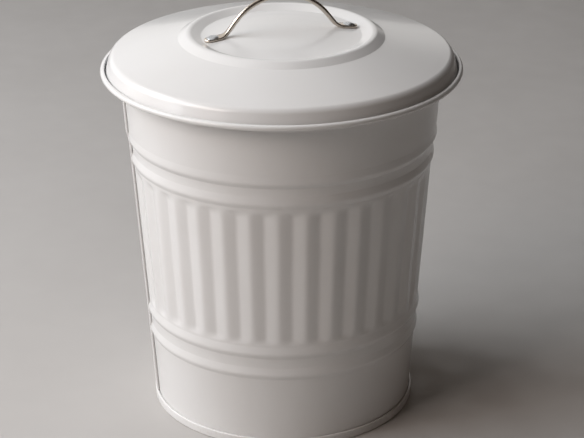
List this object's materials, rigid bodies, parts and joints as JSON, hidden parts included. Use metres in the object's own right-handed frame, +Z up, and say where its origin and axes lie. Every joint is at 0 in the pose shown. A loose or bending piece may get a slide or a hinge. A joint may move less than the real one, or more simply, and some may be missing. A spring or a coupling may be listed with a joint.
{
  "type": "kitchen bin",
  "caption": "Round tapered kitchen bin in white painted sheet steel, with a fluted and beaded wall, a folded base and a loose domed lid with a riveted strap handle that lifts off.",
  "frame": {"origin": "centre of the bin's foot ring, on the floor it stands on", "axes": "+Z up along the bin's axis, +X along the lid handle, +Y across it; the folded side seam is close to -X"},
  "size_m": [0.31, 0.31, 0.3716],
  "materials": {
    "painted_sheet": "glossy off-white powder coat",
    "plated_strap": "bright nickel plate",
    "rivet_steel": "bright zinc plate",
    "edge_wire": "drawn galvanised wire"
  },
  "bodies": {
    "bin": {"body_shell": "painted_sheet", "body_rim_wire": "edge_wire", "base_pan": "painted_sheet"},
    "lid": {"lid_shell": "painted_sheet", "lid_edge_wire": "edge_wire", "lid_handle": "plated_strap", "handle_rivet_left": "rivet_steel", "handle_rivet_right": "rivet_steel", "rivet_washer_left": "rivet_steel", "rivet_washer_right": "rivet_steel"}
  },
  "joints": [
    {"name": "lid_lift", "type": "slide", "parent": "bin", "child": "lid", "axis": [0, 0, 1], "range_m": [0, 0.25]}
  ]
}
